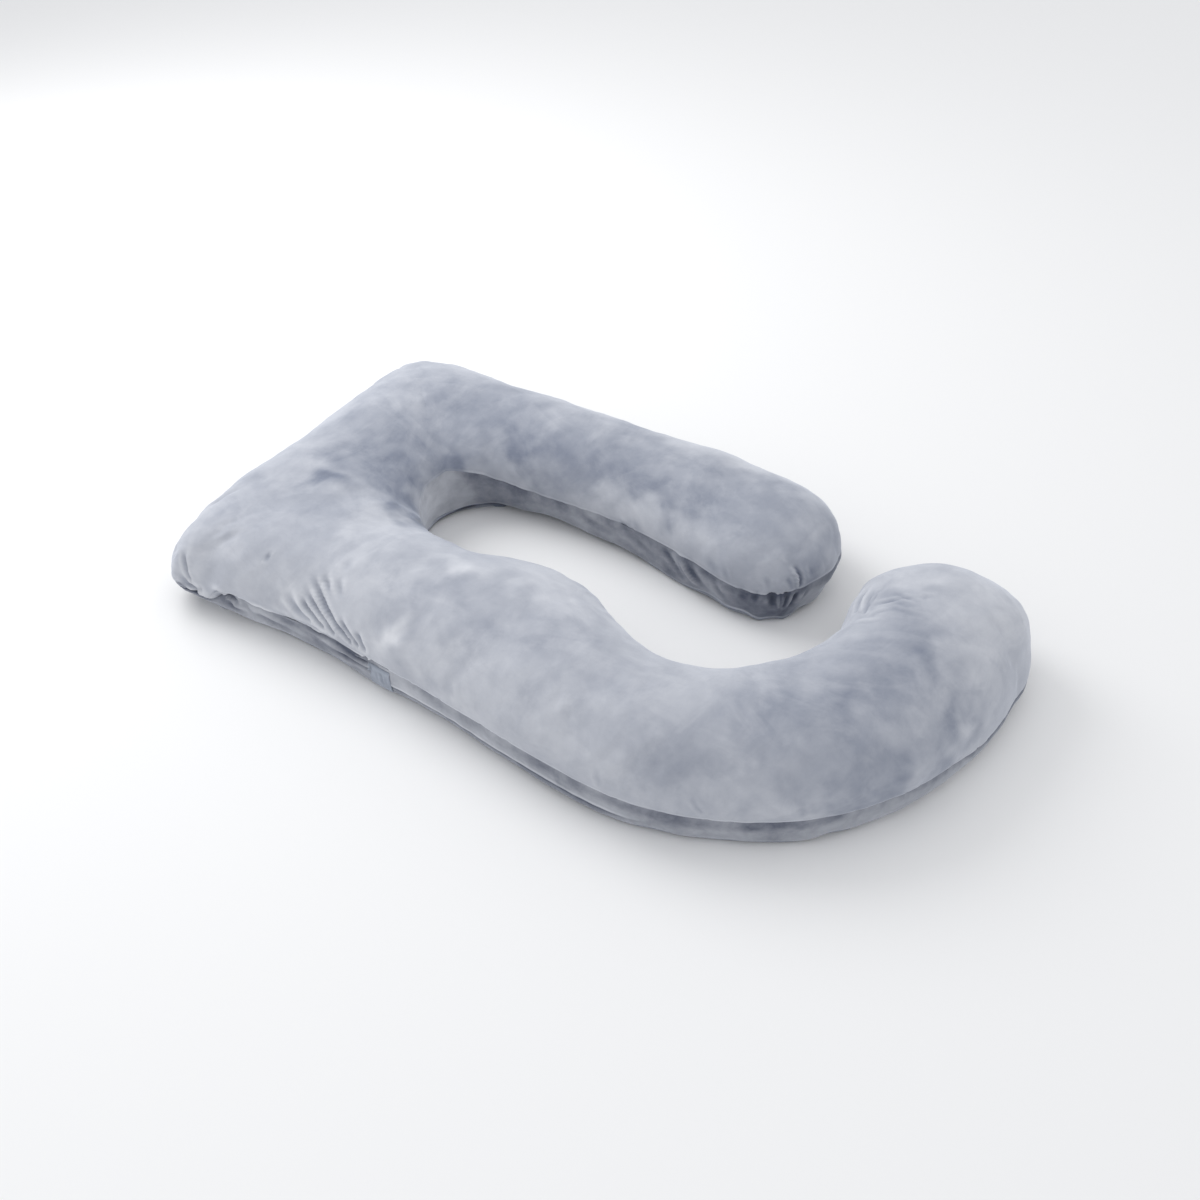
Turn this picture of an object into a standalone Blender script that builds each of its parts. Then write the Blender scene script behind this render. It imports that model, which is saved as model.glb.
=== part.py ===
"""Full-body pillow: a broad head end, a short straight arm and a long arm that ends in a hook.

The pillow lies on its bottom panel. +X runs from the head end to the hook and +Y points to the
short arm. The stuffed body is one loft: each section runs across the filling from the inner
seam to the outer seam, and half ellipses round off the two ends. A boxing band joins the top
panel to the bottom panel all the way round. Along the front it is two strips that meet over a
hidden zip, and a short stitched tab covers the start of that zip.
"""

from collections import namedtuple

import bmesh
import bpy
import numpy as np

# Driving sizes, in metres.
BELLY = 0.085  # height of the widest line of the filling
BAND = 0.0015  # thickness of the boxing band
GAP = 0.0003  # clearance between two pieces
EDGE_GAP = 0.0004  # clearance between the band's edges and the two seams
RIM_LIFT = 0.006  # height of the bottom seam above the surface
CURL_HEIGHT = 0.012  # how low the band hangs before it turns under
FLAT_SHARE = 0.6  # share of the half width that lies flat
ARM_END = (0.141, -0.010)  # reach of the short arm's rounded end, along X and Y
HOOK_END = (0.029, 0.134)  # reach of the hook's rounded end, along X and Y

# Fineness of the loft.
ACROSS = 16  # faces across the top panel
END_SLICES = 7  # slices in each rounded end
BAND_ROWS = (0.35, 0.7)  # edges inside the band, as shares of the way from top to bottom seam

# Zip in the front band, as X of its two ends, and the place of its slit down the band.
ZIP_START = -0.177
ZIP_END = 0.34
ZIP_SLIT = 0.45
ZIP_GAP = 0.0008
TAB_START = -0.2
TAB_END = -0.155
TAB_SHARES = (0.06, 0.35, 0.45, 0.7)  # edges of the tab, as shares down the band

# One row for each section, from the short arm round the head end to the hook: where the outer
# and inner seams would lie on the widest line, the crown's height, how far each side rolls over
# in degrees (90 is upright), how far the bottom seam is tucked in, and slices to the next row.
Section = namedtuple(
    "Section", "outer_x outer_y inner_x inner_y top outer_turn inner_turn outer_foot inner_foot slices"
)
SECTIONS = (
    Section(0.180, 0.387, 0.180, 0.110, 0.168, 95, 98, 0.036, 0.010, 4),
    Section(0.057, 0.394, 0.057, 0.138, 0.170, 95, 98, 0.036, 0.010, 4),
    Section(-0.075, 0.389, -0.075, 0.152, 0.170, 95, 98, 0.036, 0.022, 4),
    Section(-0.218, 0.385, -0.208, 0.144, 0.170, 95, 98, 0.036, 0.041, 4),
    Section(-0.361, 0.380, -0.305, 0.130, 0.170, 95, 92, 0.036, 0.031, 4),
    Section(-0.493, 0.374, -0.340, 0.112, 0.170, 95, 84, 0.036, 0.018, 4),
    Section(-0.611, 0.375, -0.361, 0.093, 0.170, 95, 80, 0.036, 0.014, 4),
    Section(-0.682, 0.333, -0.371, 0.076, 0.170, 95, 76, 0.036, 0.012, 3),
    Section(-0.695, 0.238, -0.375, 0.059, 0.170, 95, 75, 0.036, 0.010, 8),
    Section(-0.681, -0.062, -0.374, 0.015, 0.170, 96, 76, 0.036, 0.006, 7),
    Section(-0.664, -0.292, -0.356, -0.031, 0.164, 103, 85, 0.036, 0.010, 5),
    Section(-0.632, -0.373, -0.340, -0.050, 0.162, 109, 90, 0.042, 0.020, 8),
    Section(-0.555, -0.380, -0.310, -0.067, 0.164, 107, 95, 0.046, 0.031, 6),
    Section(-0.442, -0.368, -0.269, -0.083, 0.166, 107, 95, 0.034, 0.036, 10),
    Section(-0.330, -0.358, -0.218, -0.089, 0.170, 107, 95, 0.020, 0.036, 14),
    Section(-0.218, -0.362, -0.157, -0.089, 0.172, 107, 95, 0.014, 0.036, 6),
    Section(-0.096, -0.370, -0.075, -0.057, 0.174, 107, 95, 0.020, 0.036, 4),
    Section(0.047, -0.383, 0.027, -0.060, 0.174, 107, 95, 0.020, 0.036, 4),
    Section(0.180, -0.393, 0.119, -0.109, 0.174, 107, 95, 0.016, 0.036, 4),
    Section(0.312, -0.388, 0.210, -0.140, 0.174, 107, 95, 0.018, 0.036, 4),
    Section(0.435, -0.345, 0.305, -0.114, 0.174, 107, 95, 0.022, 0.036, 5),
    Section(0.547, -0.267, 0.368, -0.041, 0.174, 107, 95, 0.018, 0.036, 5),
    Section(0.629, -0.159, 0.394, 0.022, 0.176, 107, 95, 0.026, 0.036, 5),
    Section(0.671, -0.046, 0.406, 0.076, 0.178, 105, 95, 0.029, 0.036, 4),
    Section(0.691, 0.066, 0.396, 0.137, 0.180, 102, 95, 0.031, 0.036, 3),
    Section(0.690, 0.152, 0.393, 0.196, 0.180, 100, 95, 0.031, 0.036, 0),
)

# One row for each main crease: its two ends, the half width of its trough and how deep it is.
# A negative depth is a raised fold.
Fold = namedtuple("Fold", "start end width depth")
FOLDS = (
    # fan of pull folds above the start of the zip
    Fold((-0.388, -0.342, 0.129), (-0.339, -0.358, 0.084), 0.012, 0.004),
    Fold((-0.345, -0.350, 0.114), (-0.300, -0.358, 0.086), 0.007, 0.005),
    Fold((-0.330, -0.335, 0.132), (-0.251, -0.360, 0.092), 0.008, 0.008),
    Fold((-0.303, -0.318, 0.144), (-0.286, -0.339, 0.129), 0.007, 0.004),
    Fold((-0.290, -0.312, 0.149), (-0.266, -0.332, 0.138), 0.007, 0.003),
    Fold((-0.255, -0.354, 0.109), (-0.228, -0.361, 0.092), 0.008, 0.005),
    # tucked front corner of the head end
    Fold((-0.583, -0.376, 0.105), (-0.566, -0.380, 0.075), 0.014, 0.012),
    Fold((-0.575, -0.374, 0.048), (-0.536, -0.374, 0.052), 0.018, 0.016),
    Fold((-0.510, -0.370, 0.054), (-0.471, -0.366, 0.054), 0.014, 0.009),
    # drooping front corner of the head end
    Fold((-0.668, -0.300, 0.110), (-0.640, -0.362, 0.115), 0.035, 0.006),
    Fold((-0.655, -0.335, 0.045), (-0.610, -0.368, 0.050), 0.030, -0.006),
    # gathers at the short arm's end
    Fold((0.290, 0.180, 0.120), (0.301, 0.169, 0.078), 0.009, 0.006),
    Fold((0.254, 0.125, 0.072), (0.255, 0.127, 0.035), 0.008, 0.006),
    Fold((0.287, 0.151, 0.072), (0.286, 0.152, 0.040), 0.009, 0.009),
    Fold((0.083, 0.134, 0.068), (0.114, 0.127, 0.041), 0.010, -0.004),
    # fuller filling at the inner corner of the bend
    Fold((-0.440, -0.120, 0.150), (-0.365, -0.105, 0.140), 0.050, -0.010),
    # puckers in the hook's notch
    Fold((0.428, 0.145, 0.146), (0.426, 0.103, 0.140), 0.009, 0.006),
    Fold((0.446, 0.086, 0.153), (0.452, 0.115, 0.160), 0.008, 0.004),
    Fold((0.464, 0.123, 0.167), (0.476, 0.093, 0.169), 0.009, 0.004),
    Fold((0.515, 0.121, 0.178), (0.555, 0.158, 0.180), 0.010, 0.004),
)

# One row for each finish: base colour, roughness and metallic value.
Finish = namedtuple("Finish", "colour roughness metallic")
VELVET = Finish((0.34, 0.37, 0.44), 0.9, 0.0)
BAND_VELVET = Finish((0.25, 0.28, 0.34), 0.9, 0.0)
ZIP_VELVET = Finish((0.28, 0.31, 0.37), 0.9, 0.0)
TAB_VELVET = Finish((0.12, 0.14, 0.18), 0.9, 0.0)


def clear_scene():
    for thing in list(bpy.data.objects):
        bpy.data.objects.remove(thing, do_unlink=True)


def spline_through(rows, slices):
    """A smooth curve through the table's rows, with the given number of slices in each span."""
    before = 2 * rows[0] - rows[1]
    after = 2 * rows[-1] - rows[-2]
    rows = np.vstack([before, rows, after])
    points = []
    for span, count in enumerate(slices):
        a, b, c, d = rows[span : span + 4]
        for t in np.arange(count) / count:
            cubic = -a + 3 * b - 3 * c + d
            square = 2 * a - 5 * b + 4 * c - d
            points.append(b + 0.5 * t * (c - a + t * (square + t * cubic)))
    points.append(rows[-2])
    return np.array(points)


def stations():
    """Every slice as its section values, its place in a rounded end (0 to 1) and that end's reach."""
    table = np.array(SECTIONS, dtype=float)
    sections = spline_through(table[:, :-1], [row.slices for row in SECTIONS[:-1]])
    ends = np.sin(np.linspace(0, 1, END_SLICES + 1)[1:] * np.pi / 2)
    first = [(sections[0], u, np.array(ARM_END)) for u in ends[::-1]]
    middle = [(section, 0.0, np.zeros(2)) for section in sections]
    last = [(sections[-1], u, np.array(HOOK_END)) for u in ends]
    return first + middle + last


def disc_place(u, v):
    """Bend the square of end place and cross place into a round end: along, across and radius."""
    along = u * np.sqrt(1 - v * v / 2)
    across = v * np.sqrt(1 - u * u / 2)
    radius = np.sqrt(np.clip(1 - (1 - u * u) * (1 - v * v), 0, 1))
    return along, across, radius


def slice_points(section, u, reach):
    """One slice: its points over the crown, on the bottom seam and on the edge of the flat base."""
    outer, inner = section[0:2], section[2:4]
    top, outer_turn, inner_turn, outer_foot, inner_foot = section[4:9]
    centre = (outer + inner) / 2
    half = (outer - inner) / 2
    v = np.sin(np.linspace(-1, 1, ACROSS + 1) * np.pi / 2)
    along, across, radius = disc_place(u, v)
    safe = np.maximum(radius, 1e-9)
    side = (across / safe + 1) / 2
    turn = np.radians(inner_turn + (outer_turn - inner_turn) * side)
    angle = turn * np.arcsin(radius) * 2 / np.pi
    spread = np.where(radius > 1e-9, np.sin(angle) / safe, 1.0)
    foot = inner_foot + (outer_foot - inner_foot) * side
    seam = 1 - foot / np.linalg.norm(half)

    def placed(scale, height):
        flat = centre + np.outer(along * scale, reach) + np.outer(across * scale, half)
        return np.column_stack([flat, height])

    crown = placed(spread, BELLY + (top - BELLY) * np.cos(angle))
    seam_points = placed(seam, np.full(len(v), RIM_LIFT))
    base = placed(seam * FLAT_SHARE, np.zeros(len(v)))
    return crown, seam_points, base


def rim_path(count):
    """Grid places round the edge, counter-clockwise: outer side, hook end, inner side, arm end."""
    last = count - 1
    path = [(i, ACROSS) for i in range(count)]
    path += [(last, j) for j in range(ACROSS - 1, -1, -1)]
    path += [(i, 0) for i in range(last - 1, -1, -1)]
    path += [(0, j) for j in range(1, ACROSS)]
    return path


def unit(vectors):
    return vectors / np.linalg.norm(vectors, axis=-1, keepdims=True)


def folded(points, normals):
    """Press the creases into the cloth."""
    depth = np.zeros(points.shape[:-1])
    for fold in FOLDS:
        start, end = np.array(fold.start), np.array(fold.end)
        run = end - start
        share = np.clip((points - start) @ run / (run @ run), 0, 1)
        away = np.linalg.norm(points - start - share[..., None] * run, axis=-1)
        depth += fold.depth * np.exp(-((away / fold.width) ** 2))
    return points - normals * depth[..., None]


class Shell:
    """The pillow's shape: the crown as a grid, and the band's surface round its rim."""

    def __init__(self):
        slices = [slice_points(*station) for station in stations()]
        crown = np.array([points[0] for points in slices])
        path = rim_path(len(crown))
        rows, columns = np.array(path).T
        self.path = path
        self.top_rim = crown[rows, columns]
        self.bottom_rim = np.array([points[1] for points in slices])[rows, columns]
        self.base_rim = np.array([points[2] for points in slices])[rows, columns]
        tangent_along = np.gradient(crown, axis=0)
        tangent_across = np.gradient(crown, axis=1)
        normals = unit(np.cross(tangent_across, tangent_along))
        self.crown = folded(crown, normals)
        self.crown[rows, columns] = self.band_ring(0.0, 0.0)

    def band_ring(self, share, depth, slide=0.0):
        """A ring on the band, a share of the way down it, sunk by depth and slid down the cloth."""
        top, bottom = self.top_rim, self.bottom_rim
        curl = np.column_stack([top[:, :2], np.full(len(top), CURL_HEIGHT)])
        points = (1 - share) ** 2 * top + 2 * share * (1 - share) * curl + share**2 * bottom
        down = unit((1 - share) * (curl - top) + share * (bottom - curl))
        around = np.roll(top, -1, axis=0) - np.roll(top, 1, axis=0)
        normals = unit(np.cross(down, around))
        return folded(points, normals) - normals * depth + down * slide

    def outer_index(self, x):
        """The rim point on the long front side that is nearest to the given X."""
        front = [k for k in range(len(self.path) // 2) if self.top_rim[k, 1] < 0]
        return min(front, key=lambda k: abs(self.top_rim[k, 0] - x))


def finish_object(name, mesh_builder, finish, collection):
    """Turn a bmesh into a named object with its own material."""
    mesh_builder.normal_update()
    bmesh.ops.triangulate(mesh_builder, faces=mesh_builder.faces[:], quad_method="FIXED")
    bmesh.ops.recalc_face_normals(mesh_builder, faces=mesh_builder.faces[:])
    mesh = bpy.data.meshes.new(name)
    mesh_builder.to_mesh(mesh)
    mesh_builder.free()
    mesh.shade_smooth()
    mesh.set_sharp_from_angle(angle=np.radians(50))
    material = bpy.data.materials.new(name + "_cloth")
    material.use_nodes = True
    shader = material.node_tree.nodes["Principled BSDF"]
    shader.inputs["Base Color"].default_value = (*finish.colour, 1.0)
    shader.inputs["Roughness"].default_value = finish.roughness
    shader.inputs["Metallic"].default_value = finish.metallic
    mesh.materials.append(material)
    thing = bpy.data.objects.new(name, mesh)
    collection.objects.link(thing)
    return thing


def skin_between(mesh_builder, upper, lower):
    """Faces between two closed rings of the same length."""
    for k, vertex in enumerate(upper):
        after = (k + 1) % len(upper)
        mesh_builder.faces.new((vertex, upper[after], lower[after], lower[k]))


def pillow_body(shell, collection):
    """The stuffed body: crown, a recess that takes the band, and the flat base."""
    builder = bmesh.new()
    grid = [[builder.verts.new(point) for point in row] for row in shell.crown]
    for near, far in zip(grid, grid[1:]):
        for j in range(ACROSS):
            builder.faces.new((near[j], near[j + 1], far[j + 1], far[j]))
    recess = BAND + GAP
    rings = [shell.band_ring(0.0, recess)]
    rings += [shell.band_ring(share, recess) for share in BAND_ROWS]
    rings += [shell.band_ring(1.0, recess), shell.band_ring(1.0, 0.0), shell.base_rim]
    upper = [grid[i][j] for i, j in shell.path]
    for ring in rings:
        lower = [builder.verts.new(point) for point in ring]
        skin_between(builder, upper, lower)
        upper = lower
    builder.faces.new(upper)
    return finish_object("pillow_body", builder, VELVET, collection)


def band_strip(name, shell, first, last, rows, sunk, finish, collection):
    """A strip of band between two rim points: rows are shares down the band with their slides."""
    size = len(shell.path)
    count = (last - first) % size
    order = [(first + k) % size for k in range(count + 1)]
    outline = [shell.band_ring(share, sunk, slide)[order] for share, slide in rows]
    outline += [shell.band_ring(share, sunk + BAND, slide)[order] for share, slide in reversed(rows)]
    outline = np.array(outline)
    for end, inward in ((0, 1), (-1, -2)):
        step = outline[:, inward] - outline[:, end]
        outline[:, end] += unit(step) * GAP / 2
    builder = bmesh.new()
    lines = [[builder.verts.new(point) for point in line] for line in outline]
    for place, line in enumerate(lines):
        after = lines[(place + 1) % len(lines)]
        is_back = place >= len(rows)
        for k in range(count):
            corners = (line[k], line[k + 1], after[k + 1], after[k])
            builder.faces.new(corners[1:] + corners[:1] if is_back else corners)
    for k in (0, count):
        builder.faces.new([line[k] for line in lines])
    return finish_object(name, builder, finish, collection)


def build():
    clear_scene()
    collection = bpy.data.collections.new("body_pillow")
    bpy.context.scene.collection.children.link(collection)
    shell = Shell()
    pillow_body(shell, collection)

    top_edge = (0.0, EDGE_GAP)
    bottom_edge = (1.0, -EDGE_GAP)
    high, low = [(share, 0.0) for share in BAND_ROWS]
    whole = [top_edge, high, low, bottom_edge]
    upper = [top_edge, high, (ZIP_SLIT, -ZIP_GAP / 2)]
    lower = [(ZIP_SLIT, ZIP_GAP / 2), low, bottom_edge]
    start = shell.outer_index(ZIP_START)
    end = shell.outer_index(ZIP_END)
    band_strip("side_band", shell, end, start, whole, 0.0, BAND_VELVET, collection)
    band_strip("zip_band_upper", shell, start, end, upper, 0.0, ZIP_VELVET, collection)
    band_strip("zip_band_lower", shell, start, end, lower, 0.0, ZIP_VELVET, collection)

    tab_start = shell.outer_index(TAB_START)
    tab_end = shell.outer_index(TAB_END)
    tab_rows = [(share, 0.0) for share in TAB_SHARES]
    proud = -(GAP + BAND)
    band_strip("zip_tab", shell, tab_start, tab_end, tab_rows, proud, TAB_VELVET, collection)


build()
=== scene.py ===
from collections import namedtuple

import bmesh
import bpy
import numpy as np
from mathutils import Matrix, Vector, kdtree


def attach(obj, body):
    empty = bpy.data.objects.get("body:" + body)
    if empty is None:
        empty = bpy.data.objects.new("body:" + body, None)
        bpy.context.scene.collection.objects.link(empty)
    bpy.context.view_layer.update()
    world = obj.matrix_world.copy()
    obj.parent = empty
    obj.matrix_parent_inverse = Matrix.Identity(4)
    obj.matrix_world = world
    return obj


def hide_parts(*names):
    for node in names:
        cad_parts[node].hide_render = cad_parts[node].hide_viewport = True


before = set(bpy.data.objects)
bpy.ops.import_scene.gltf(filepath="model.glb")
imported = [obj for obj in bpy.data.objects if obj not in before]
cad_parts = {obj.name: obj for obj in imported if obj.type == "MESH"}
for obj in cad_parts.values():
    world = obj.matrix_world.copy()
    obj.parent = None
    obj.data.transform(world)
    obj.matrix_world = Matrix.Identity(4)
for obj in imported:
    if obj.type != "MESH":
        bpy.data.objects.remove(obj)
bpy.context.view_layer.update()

# ---------------------------------------------------------------- driving sizes, in metres

BELLY = 0.085  # height of the pillow's widest line
RIM_LIFT = 0.006  # height of the bottom seam
CURL_RISE = 0.006  # height over the bottom seam of the point that curls the band under
BASE_EDGE = 0.016  # width of the strip of mesh round the edge of the flat base
ARM_END = (0.141, -0.010)  # reach of the short arm's rounded end, along X and Y
HOOK_END = (0.029, 0.134)  # reach of the hook's rounded end, along X and Y
BAND = 0.0015  # thickness of the band's cloth
CAVITY = 0.016  # how far the filling stays behind the band

CELL = 0.0130  # cell of the coarse mesh that is simulated
ACROSS = 26  # cells across the coarse crown
SPLIT = 3  # cells of the fine mesh along each side of a coarse cell
EDGE_CROWDING = 1.3  # above 1, the cells get smaller towards the seam
CROWDED_X = (-0.42, -0.15)  # stretch of the front arm with cells of half the length
BAND_ROWS = 18  # cells down the band
STRIP_ROWS = 14  # and at least this many on each narrow strip
BAND_FOOT = 0.97  # share where the band meets the bottom panel's rolled edge

SHRINK = 0.001  # the simulated cloth starts this much inside its final place
SWELL_CAP = 0.006  # and may move this much as it fills
SIM_FRAMES = 20
PRESSURE = 5.0

# The front zip: shares are places down the band, 0 at the top seam and 1 at the bottom seam.
ZIP_START = -0.177
ZIP_END = 0.340
ZIP_SLIT = 0.45
ZIP_LIP = 0.0010  # how far the upper strip's lip stands out over the slit
TAB_START = -0.200
TAB_END = -0.155
TAB_SHARES = (0.06, 0.70)

# One row for each section from the short arm to the hook, over the plan's edge points.
# A turn is how far the crown's arc goes from straight up to the seam, in degrees, and a foot is
# how far the bottom seam sits inside the top one.
Section = namedtuple(
    "Section", "outer_x outer_y inner_x inner_y top outer_turn inner_turn outer_foot inner_foot"
)
SECTIONS = (
    Section(0.18, 0.387, 0.18, 0.11, 0.168, 95, 98, 0.036, 0.01),
    Section(0.057, 0.394, 0.057, 0.138, 0.17, 95, 98, 0.036, 0.01),
    Section(-0.075, 0.389, -0.075, 0.152, 0.17, 95, 98, 0.036, 0.022),
    Section(-0.218, 0.385, -0.208, 0.144, 0.17, 95, 98, 0.036, 0.041),
    Section(-0.361, 0.38, -0.305, 0.13, 0.17, 95, 92, 0.036, 0.031),
    Section(-0.493, 0.374, -0.34, 0.112, 0.17, 95, 84, 0.036, 0.018),
    Section(-0.611, 0.375, -0.361, 0.093, 0.17, 95, 80, 0.036, 0.014),
    Section(-0.682, 0.333, -0.371, 0.076, 0.17, 95, 76, 0.036, 0.012),
    Section(-0.695, 0.238, -0.375, 0.059, 0.17, 95, 75, 0.036, 0.01),
    Section(-0.681, -0.062, -0.374, 0.015, 0.17, 96, 76, 0.036, 0.006),
    Section(-0.664, -0.292, -0.356, -0.031, 0.164, 103, 85, 0.036, 0.01),
    Section(-0.632, -0.373, -0.34, -0.05, 0.162, 109, 90, 0.042, 0.02),
    Section(-0.555, -0.38, -0.31, -0.067, 0.164, 107, 95, 0.046, 0.031),
    Section(-0.442, -0.368, -0.269, -0.083, 0.166, 107, 95, 0.034, 0.036),
    Section(-0.33, -0.358, -0.218, -0.089, 0.17, 107, 95, 0.02, 0.036),
    Section(-0.218, -0.362, -0.157, -0.089, 0.172, 107, 95, 0.014, 0.036),
    Section(-0.096, -0.37, -0.075, -0.057, 0.174, 107, 95, 0.02, 0.036),
    Section(0.047, -0.383, 0.027, -0.06, 0.174, 107, 95, 0.02, 0.036),
    Section(0.18, -0.393, 0.119, -0.109, 0.174, 107, 95, 0.016, 0.036),
    Section(0.312, -0.388, 0.21, -0.14, 0.174, 107, 95, 0.018, 0.036),
    Section(0.435, -0.345, 0.305, -0.114, 0.174, 107, 95, 0.022, 0.036),
    Section(0.547, -0.267, 0.368, -0.041, 0.174, 107, 95, 0.018, 0.036),
    Section(0.629, -0.159, 0.394, 0.022, 0.176, 107, 95, 0.026, 0.036),
    Section(0.671, -0.046, 0.406, 0.076, 0.178, 105, 95, 0.029, 0.036),
    Section(0.691, 0.066, 0.396, 0.137, 0.18, 102, 95, 0.031, 0.036),
    Section(0.69, 0.152, 0.393, 0.196, 0.18, 100, 95, 0.031, 0.036),
)

# Places where the top seam droops, and where the bottom seam is lifted off the ground: centre,
# half width and height.
Sag = namedtuple("Sag", "x y width height")
DROOPS = (
    Sag(-0.645, -0.335, 0.04, 0.01),
    Sag(-0.59, -0.375, 0.03, 0.01),
    Sag(-0.549, -0.378, 0.031, 0.034),
    Sag(0.255, 0.125, 0.06, 0.008),
    Sag(0.7, 0.03, 0.095, 0.034),
    Sag(0.692, 0.165, 0.075, 0.034),
)
LIFTS = (
    Sag(-0.22, 0.15, 0.05, 0.003),
    Sag(-0.04, 0.152, 0.06, 0.004),
    Sag(0.15, 0.122, 0.045, 0.012),
    Sag(-0.34, 0.11, 0.05, 0.01),
    Sag(0.225, 0.11, 0.035, 0.008),
    Sag(0.3, 0.165, 0.035, 0.007),
    Sag(-0.62, -0.37, 0.05, 0.02),
    Sag(-0.54, -0.372, 0.04, 0.006),
    Sag(-0.28, -0.355, 0.05, 0.004),
    Sag(-0.08, -0.37, 0.07, 0.003),
    Sag(0.18, -0.393, 0.06, 0.005),
    Sag(0.34, -0.37, 0.025, 0.003),
    Sag(0.56, -0.24, 0.022, 0.006),
)

# One row for each main fold: its two ends, the half width of its trough and how deep it is.
# A negative depth is a raised fold.
Fold = namedtuple("Fold", "start end width depth")
FOLDS = (
    # drooping front corner of the head end
    Fold((-0.668, -0.3, 0.11), (-0.64, -0.362, 0.115), 0.035, 0.006),
    Fold((-0.66, -0.33, 0.05), (-0.615, -0.366, 0.052), 0.03, -0.012),
    # tucked front corner of the head end
    Fold((-0.602, -0.366, 0.098), (-0.59, -0.376, 0.072), 0.009, 0.004),
    Fold((-0.532, -0.374, 0.046), (-0.508, -0.372, 0.05), 0.013, 0.011),
    Fold((-0.5, -0.37, 0.054), (-0.471, -0.366, 0.054), 0.014, 0.006),
    # gathers at the short arm's end
    Fold((0.285, 0.163, 0.118), (0.292, 0.17, 0.088), 0.008, 0.0025),
    Fold((0.262, 0.135, 0.064), (0.265, 0.137, 0.042), 0.007, 0.005),
    Fold((0.289, 0.168, 0.06), (0.284, 0.162, 0.038), 0.009, 0.007),
    Fold((0.083, 0.134, 0.068), (0.114, 0.127, 0.041), 0.01, -0.004),
    # fuller and drawn-in places of the outline
    Fold((-0.64, -0.29, 0.115), (-0.64, -0.16, 0.135), 0.06, -0.005),
    Fold((0.69, 0.16, 0.095), (0.684, 0.23, 0.1), 0.042, 0.009),
    Fold((0.678, -0.03, 0.062), (0.694, 0.07, 0.066), 0.04, 0.004),
    Fold((0.59, 0.28, 0.125), (0.65, 0.245, 0.12), 0.05, -0.003),
    Fold((0.15, 0.38, 0.11), (0.27, 0.33, 0.105), 0.05, -0.003),
    Fold((0.318, 0.19, 0.03), (0.32, 0.27, 0.035), 0.03, 0.01),
    Fold((0.32, 0.24, 0.056), (0.312, 0.29, 0.06), 0.026, -0.007),
    Fold((0.15, 0.115, 0.01), (0.21, 0.11, 0.01), 0.03, 0.003),
    Fold((-0.366, -0.03, 0.012), (-0.374, 0.04, 0.012), 0.03, 0.008),
    Fold((0.234, 0.131, 0.006), (0.24, 0.134, 0.006), 0.011, -0.006),
    Fold((0.276, 0.164, 0.006), (0.284, 0.172, 0.006), 0.011, -0.009),
    # fuller filling at the inner corner of the bend
    Fold((-0.44, -0.12, 0.15), (-0.365, -0.105, 0.14), 0.05, -0.01),
)
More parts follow.
